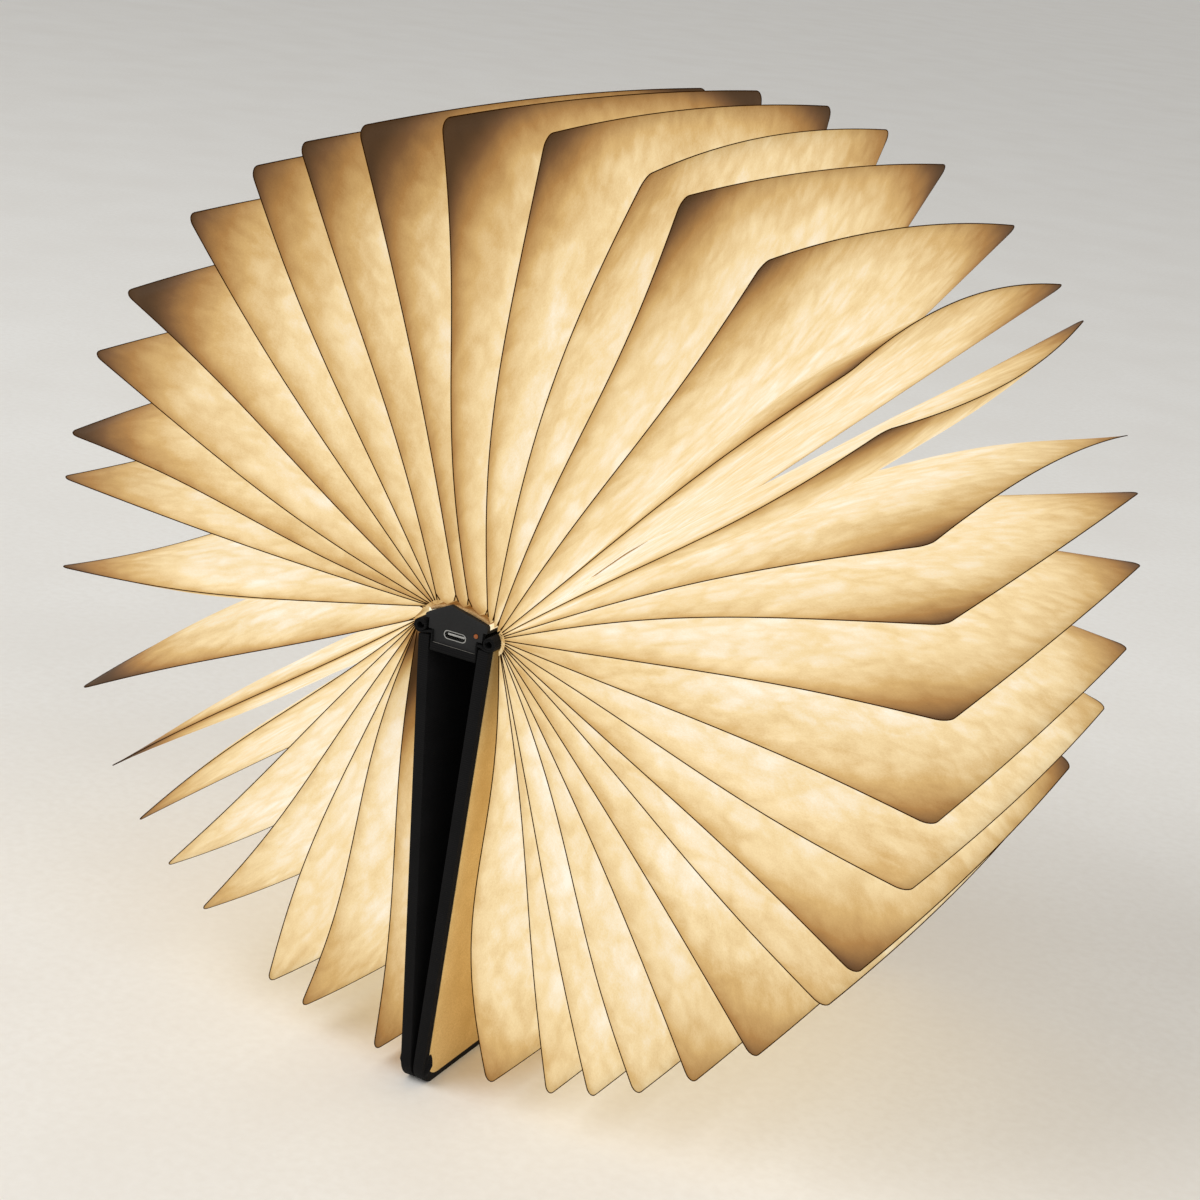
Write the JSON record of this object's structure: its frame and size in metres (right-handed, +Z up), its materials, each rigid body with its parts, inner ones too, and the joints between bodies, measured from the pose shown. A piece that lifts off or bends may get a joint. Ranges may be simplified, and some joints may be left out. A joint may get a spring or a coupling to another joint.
{
  "type": "folding book lamp",
  "caption": "Book that opens into a lamp: its covers swing back to back as a stand, its paper pages fan into a glowing wheel round a light in the spine.",
  "frame": {"origin": "on the table, under the middle of the spine: the middle of the base of the open lamp's box", "axes": "+X to the right as the near end is seen, +Y along the spine from the near end to the far end, +Z up"},
  "size_m": [0.3529, 0.216, 0.3469],
  "materials": {
    "page_paper": "translucent fibrous paper, warm where lit from inside",
    "cover_cloth": "matt black book cloth",
    "cover_board": "grey board",
    "lining_paper": "cream paper",
    "magnet_nickel": "nickel plate",
    "black_plastic": "fine moulded texture",
    "diffuser_plastic": "milky, satin",
    "led_board": "white solder mask",
    "led_phosphor": "yellow phosphor under clear silicone",
    "circuit_board": "green solder mask",
    "port_steel": "drawn, bright",
    "indicator_amber": "amber, clear",
    "cell_pouch": "silvery laminate pouch",
    "switch_plastic": "moulded"
  },
  "bodies": {
    "root": {"spine_board": "cover_board", "spine_wrap": "cover_cloth", "left_joint_cloth": "cover_cloth", "right_joint_cloth": "cover_cloth", "core_housing": "black_plastic", "diffuser": "diffuser_plastic", "near_end_cap": "black_plastic", "far_end_cap": "black_plastic", "battery_cells": "cell_pouch", "led_board": "led_board", "leds": "led_phosphor", "charge_board": "circuit_board", "charging_port": "port_steel", "indicator_light": "indicator_amber", "magnet_switch": "switch_plastic"},
    "left_cover": {"left_cover_board": "cover_board", "left_cover_wrap": "cover_cloth", "left_lining": "lining_paper", "left_magnets": "magnet_nickel"},
    "right_cover": {"right_cover_board": "cover_board", "right_cover_wrap": "cover_cloth", "right_lining": "lining_paper", "right_magnets": "magnet_nickel"},
    "page_01": {"page_01": "page_paper"},
    "page_02": {"page_02": "page_paper"},
    "page_03": {"page_03": "page_paper"},
    "page_04": {"page_04": "page_paper"},
    "page_05": {"page_05": "page_paper"},
    "page_06": {"page_06": "page_paper"},
    "page_07": {"page_07": "page_paper"},
    "page_08": {"page_08": "page_paper"},
    "page_09": {"page_09": "page_paper"},
    "page_10": {"page_10": "page_paper"},
    "page_11": {"page_11": "page_paper"},
    "page_12": {"page_12": "page_paper"},
    "page_13": {"page_13": "page_paper"},
    "page_14": {"page_14": "page_paper"},
    "page_15": {"page_15": "page_paper"},
    "page_16": {"page_16": "page_paper"},
    "page_17": {"page_17": "page_paper"},
    "page_18": {"page_18": "page_paper"},
    "page_19": {"page_19": "page_paper"},
    "page_20": {"page_20": "page_paper"},
    "page_21": {"page_21": "page_paper"},
    "page_22": {"page_22": "page_paper"},
    "page_23": {"page_23": "page_paper"},
    "page_24": {"page_24": "page_paper"},
    "page_25": {"page_25": "page_paper"},
    "page_26": {"page_26": "page_paper"},
    "page_27": {"page_27": "page_paper"},
    "page_28": {"page_28": "page_paper"},
    "page_29": {"page_29": "page_paper"},
    "page_30": {"page_30": "page_paper"},
    "page_31": {"page_31": "page_paper"},
    "page_32": {"page_32": "page_paper"},
    "page_33": {"page_33": "page_paper"},
    "page_34": {"page_34": "page_paper"},
    "page_35": {"page_35": "page_paper"},
    "page_36": {"page_36": "page_paper"},
    "page_37": {"page_37": "page_paper"}
  },
  "joints": [
    {"name": "left_cover_hinge", "type": "hinge", "parent": "root", "child": "left_cover", "pos_m": [-0.0138, 0, 0.17551], "axis": [0, 1, 0], "range_deg": [0, 183.25]},
    {"name": "right_cover_hinge", "type": "hinge", "parent": "root", "child": "right_cover", "pos_m": [0.0138, 0, 0.17551], "axis": [0, -1, 0], "range_deg": [0, 183.25]},
    {"name": "page_01_fold", "type": "hinge", "parent": "root", "child": "page_01", "pos_m": [-0.014, 0, 0.17703], "axis": [0, 1, 0], "range_deg": [0, 179]},
    {"name": "page_02_fold", "type": "hinge", "parent": "root", "child": "page_02", "pos_m": [-0.01353, 0, 0.1775], "axis": [0, 1, 0], "range_deg": [0, 168]},
    {"name": "page_03_fold", "type": "hinge", "parent": "root", "child": "page_03", "pos_m": [-0.01307, 0, 0.17778], "axis": [0, 1, 0], "range_deg": [0, 161]},
    {"name": "page_04_fold", "type": "hinge", "parent": "root", "child": "page_04", "pos_m": [-0.0125, 0, 0.17808], "axis": [0, 1, 0], "range_deg": [0, 149]},
    {"name": "page_05_fold", "type": "hinge", "parent": "root", "child": "page_05", "pos_m": [-0.01196, 0, 0.17823], "axis": [0, 1, 0], "range_deg": [0, 141]},
    {"name": "page_06_fold", "type": "hinge", "parent": "root", "child": "page_06", "pos_m": [-0.01143, 0, 0.1783], "axis": [0, 1, 0], "range_deg": [0, 135]},
    {"name": "page_07_fold", "type": "hinge", "parent": "root", "child": "page_07", "pos_m": [-0.0108, 0, 0.17837], "axis": [0, 1, 0], "range_deg": [0, 126]},
    {"name": "page_08_fold", "type": "hinge", "parent": "root", "child": "page_08", "pos_m": [-0.01008, 0, 0.17841], "axis": [0, 1, 0], "range_deg": [0, 115]},
    {"name": "page_09_fold", "type": "hinge", "parent": "root", "child": "page_09", "pos_m": [-0.00913, 0, 0.17851], "axis": [0, 1, 0], "range_deg": [0, 99]},
    {"name": "page_10_fold", "type": "hinge", "parent": "root", "child": "page_10", "pos_m": [-0.00825, 0, 0.17855], "axis": [0, 1, 0], "range_deg": [0, 87]},
    {"name": "page_11_fold", "type": "hinge", "parent": "root", "child": "page_11", "pos_m": [-0.00758, 0, 0.1784], "axis": [0, 1, 0], "range_deg": [0, 81]},
    {"name": "page_12_fold", "type": "hinge", "parent": "root", "child": "page_12", "pos_m": [-0.00663, 0, 0.17842], "axis": [0, 1, 0], "range_deg": [0, 69]},
    {"name": "page_13_fold", "type": "hinge", "parent": "root", "child": "page_13", "pos_m": [-0.00573, 0, 0.17838], "axis": [0, 1, 0], "range_deg": [0, 59]},
    {"name": "page_14_fold", "type": "hinge", "parent": "root", "child": "page_14", "pos_m": [-0.0046, 0, 0.17865], "axis": [0, 1, 0], "range_deg": [0, 45]},
    {"name": "page_15_fold", "type": "hinge", "parent": "root", "child": "page_15", "pos_m": [-0.0036, 0, 0.17886], "axis": [0, 1, 0], "range_deg": [0, 34]},
    {"name": "page_16_fold", "type": "hinge", "parent": "root", "child": "page_16", "pos_m": [-0.00279, 0, 0.1786], "axis": [0, 1, 0], "range_deg": [0, 27]},
    {"name": "page_17_fold", "type": "hinge", "parent": "root", "child": "page_17", "pos_m": [-0.0017, 0, 0.17944], "axis": [0, 1, 0], "range_deg": [0, 15]},
    {"name": "page_18_fold", "type": "hinge", "parent": "root", "child": "page_18", "pos_m": [-0.00078, 0, 0.18073], "axis": [0, 1, 0], "range_deg": [0, 6]},
    {"name": "page_19_fold", "type": "hinge", "parent": "root", "child": "page_19", "pos_m": [0.00037, 0, 0.17425], "axis": [0, -1, 0], "range_deg": [0, 6]},
    {"name": "page_20_fold", "type": "hinge", "parent": "root", "child": "page_20", "pos_m": [0.00134, 0, 0.17671], "axis": [0, -1, 0], "range_deg": [0, 16]},
    {"name": "page_21_fold", "type": "hinge", "parent": "root", "child": "page_21", "pos_m": [0.00214, 0, 0.17767], "axis": [0, -1, 0], "range_deg": [0, 23]},
    {"name": "page_22_fold", "type": "hinge", "parent": "root", "child": "page_22", "pos_m": [0.00323, 0, 0.17769], "axis": [0, -1, 0], "range_deg": [0, 35]},
    {"name": "page_23_fold", "type": "hinge", "parent": "root", "child": "page_23", "pos_m": [0.00429, 0, 0.17774], "axis": [0, -1, 0], "range_deg": [0, 47]},
    {"name": "page_24_fold", "type": "hinge", "parent": "root", "child": "page_24", "pos_m": [0.00501, 0, 0.1781], "axis": [0, -1, 0], "range_deg": [0, 53]},
    {"name": "page_25_fold", "type": "hinge", "parent": "root", "child": "page_25", "pos_m": [0.00612, 0, 0.17805], "axis": [0, -1, 0], "range_deg": [0, 67]},
    {"name": "page_26_fold", "type": "hinge", "parent": "root", "child": "page_26", "pos_m": [0.0069, 0, 0.17822], "axis": [0, -1, 0], "range_deg": [0, 75]},
    {"name": "page_27_fold", "type": "hinge", "parent": "root", "child": "page_27", "pos_m": [0.00779, 0, 0.17828], "axis": [0, -1, 0], "range_deg": [0, 86]},
    {"name": "page_28_fold", "type": "hinge", "parent": "root", "child": "page_28", "pos_m": [0.00868, 0, 0.17831], "axis": [0, -1, 0], "range_deg": [0, 98]},
    {"name": "page_29_fold", "type": "hinge", "parent": "root", "child": "page_29", "pos_m": [0.00938, 0, 0.17839], "axis": [0, -1, 0], "range_deg": [0, 106]},
    {"name": "page_30_fold", "type": "hinge", "parent": "root", "child": "page_30", "pos_m": [0.01014, 0, 0.17838], "axis": [0, -1, 0], "range_deg": [0, 117]},
    {"name": "page_31_fold", "type": "hinge", "parent": "root", "child": "page_31", "pos_m": [0.01078, 0, 0.17838], "axis": [0, -1, 0], "range_deg": [0, 125]},
    {"name": "page_32_fold", "type": "hinge", "parent": "root", "child": "page_32", "pos_m": [0.01148, 0, 0.17828], "axis": [0, -1, 0], "range_deg": [0, 137]},
    {"name": "page_33_fold", "type": "hinge", "parent": "root", "child": "page_33", "pos_m": [0.01206, 0, 0.17816], "axis": [0, -1, 0], "range_deg": [0, 146]},
    {"name": "page_34_fold", "type": "hinge", "parent": "root", "child": "page_34", "pos_m": [0.01259, 0, 0.17799], "axis": [0, -1, 0], "range_deg": [0, 154]},
    {"name": "page_35_fold", "type": "hinge", "parent": "root", "child": "page_35", "pos_m": [0.01307, 0, 0.17778], "axis": [0, -1, 0], "range_deg": [0, 161]},
    {"name": "page_36_fold", "type": "hinge", "parent": "root", "child": "page_36", "pos_m": [0.01352, 0, 0.17753], "axis": [0, -1, 0], "range_deg": [0, 167]},
    {"name": "page_37_fold", "type": "hinge", "parent": "root", "child": "page_37", "pos_m": [0.01396, 0, 0.17715], "axis": [0, -1, 0], "range_deg": [0, 175]}
  ],
  "couplings": [
    {"joint": "page_01_fold", "follows": "left_cover_hinge", "ratio": 0.97682},
    {"joint": "page_02_fold", "follows": "left_cover_hinge", "ratio": 0.91679},
    {"joint": "page_03_fold", "follows": "left_cover_hinge", "ratio": 0.87859},
    {"joint": "page_04_fold", "follows": "left_cover_hinge", "ratio": 0.81311},
    {"joint": "page_05_fold", "follows": "left_cover_hinge", "ratio": 0.76945},
    {"joint": "page_06_fold", "follows": "left_cover_hinge", "ratio": 0.73671},
    {"joint": "page_07_fold", "follows": "left_cover_hinge", "ratio": 0.68759},
    {"joint": "page_08_fold", "follows": "left_cover_hinge", "ratio": 0.62757},
    {"joint": "page_09_fold", "follows": "left_cover_hinge", "ratio": 0.54025},
    {"joint": "page_10_fold", "follows": "left_cover_hinge", "ratio": 0.47477},
    {"joint": "page_11_fold", "follows": "left_cover_hinge", "ratio": 0.44203},
    {"joint": "page_12_fold", "follows": "left_cover_hinge", "ratio": 0.37654},
    {"joint": "page_13_fold", "follows": "left_cover_hinge", "ratio": 0.32197},
    {"joint": "page_14_fold", "follows": "left_cover_hinge", "ratio": 0.24557},
    {"joint": "page_15_fold", "follows": "left_cover_hinge", "ratio": 0.18554},
    {"joint": "page_16_fold", "follows": "left_cover_hinge", "ratio": 0.14734},
    {"joint": "page_17_fold", "follows": "left_cover_hinge", "ratio": 0.081857},
    {"joint": "page_18_fold", "follows": "left_cover_hinge", "ratio": 0.032743},
    {"joint": "page_19_fold", "follows": "right_cover_hinge", "ratio": 0.032743},
    {"joint": "page_20_fold", "follows": "right_cover_hinge", "ratio": 0.087314},
    {"joint": "page_21_fold", "follows": "right_cover_hinge", "ratio": 0.12551},
    {"joint": "page_22_fold", "follows": "right_cover_hinge", "ratio": 0.191},
    {"joint": "page_23_fold", "follows": "right_cover_hinge", "ratio": 0.25648},
    {"joint": "page_24_fold", "follows": "right_cover_hinge", "ratio": 0.28923},
    {"joint": "page_25_fold", "follows": "right_cover_hinge", "ratio": 0.36563},
    {"joint": "page_26_fold", "follows": "right_cover_hinge", "ratio": 0.40928},
    {"joint": "page_27_fold", "follows": "right_cover_hinge", "ratio": 0.46931},
    {"joint": "page_28_fold", "follows": "right_cover_hinge", "ratio": 0.5348},
    {"joint": "page_29_fold", "follows": "right_cover_hinge", "ratio": 0.57845},
    {"joint": "page_30_fold", "follows": "right_cover_hinge", "ratio": 0.63848},
    {"joint": "page_31_fold", "follows": "right_cover_hinge", "ratio": 0.68214},
    {"joint": "page_32_fold", "follows": "right_cover_hinge", "ratio": 0.74762},
    {"joint": "page_33_fold", "follows": "right_cover_hinge", "ratio": 0.79674},
    {"joint": "page_34_fold", "follows": "right_cover_hinge", "ratio": 0.84039},
    {"joint": "page_35_fold", "follows": "right_cover_hinge", "ratio": 0.87859},
    {"joint": "page_36_fold", "follows": "right_cover_hinge", "ratio": 0.91134},
    {"joint": "page_37_fold", "follows": "right_cover_hinge", "ratio": 0.95499}
  ]
}
